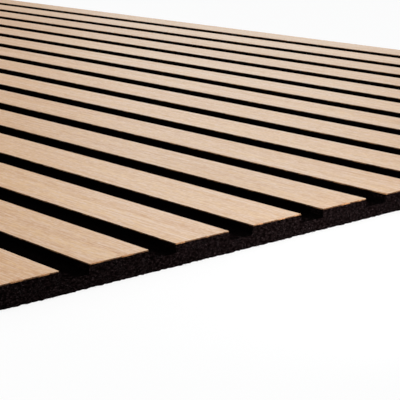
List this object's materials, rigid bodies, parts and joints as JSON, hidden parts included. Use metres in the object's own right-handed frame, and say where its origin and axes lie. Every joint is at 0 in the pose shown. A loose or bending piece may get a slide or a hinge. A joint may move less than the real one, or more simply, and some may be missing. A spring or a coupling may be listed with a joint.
{
  "type": "acoustic slat wall panel",
  "caption": "Thin rectangular wall panel of black felt with parallel grooves and light oak veneer strips on the ridges between them, for sound absorption.",
  "frame": {"origin": "middle of the panel's flat back, which is the face that goes against the wall", "axes": "+X along the slats, +Y across them from the flush long edge to the long edge with the open groove, +Z out of the veneered face"},
  "size_m": [2.4, 0.6, 0.009],
  "materials": {
    "black_felt": "matt pressed fibre, fuzzy at cut edges",
    "oak_veneer": "matt, sanded and lacquered"
  },
  "bodies": {
    "root": {"felt_board": "black_felt", "veneer_strip_01": "oak_veneer", "veneer_strip_02": "oak_veneer", "veneer_strip_03": "oak_veneer", "veneer_strip_04": "oak_veneer", "veneer_strip_05": "oak_veneer", "veneer_strip_06": "oak_veneer", "veneer_strip_07": "oak_veneer", "veneer_strip_08": "oak_veneer", "veneer_strip_09": "oak_veneer", "veneer_strip_10": "oak_veneer", "veneer_strip_11": "oak_veneer", "veneer_strip_12": "oak_veneer", "veneer_strip_13": "oak_veneer", "veneer_strip_14": "oak_veneer", "veneer_strip_15": "oak_veneer"}
  },
  "joints": []
}
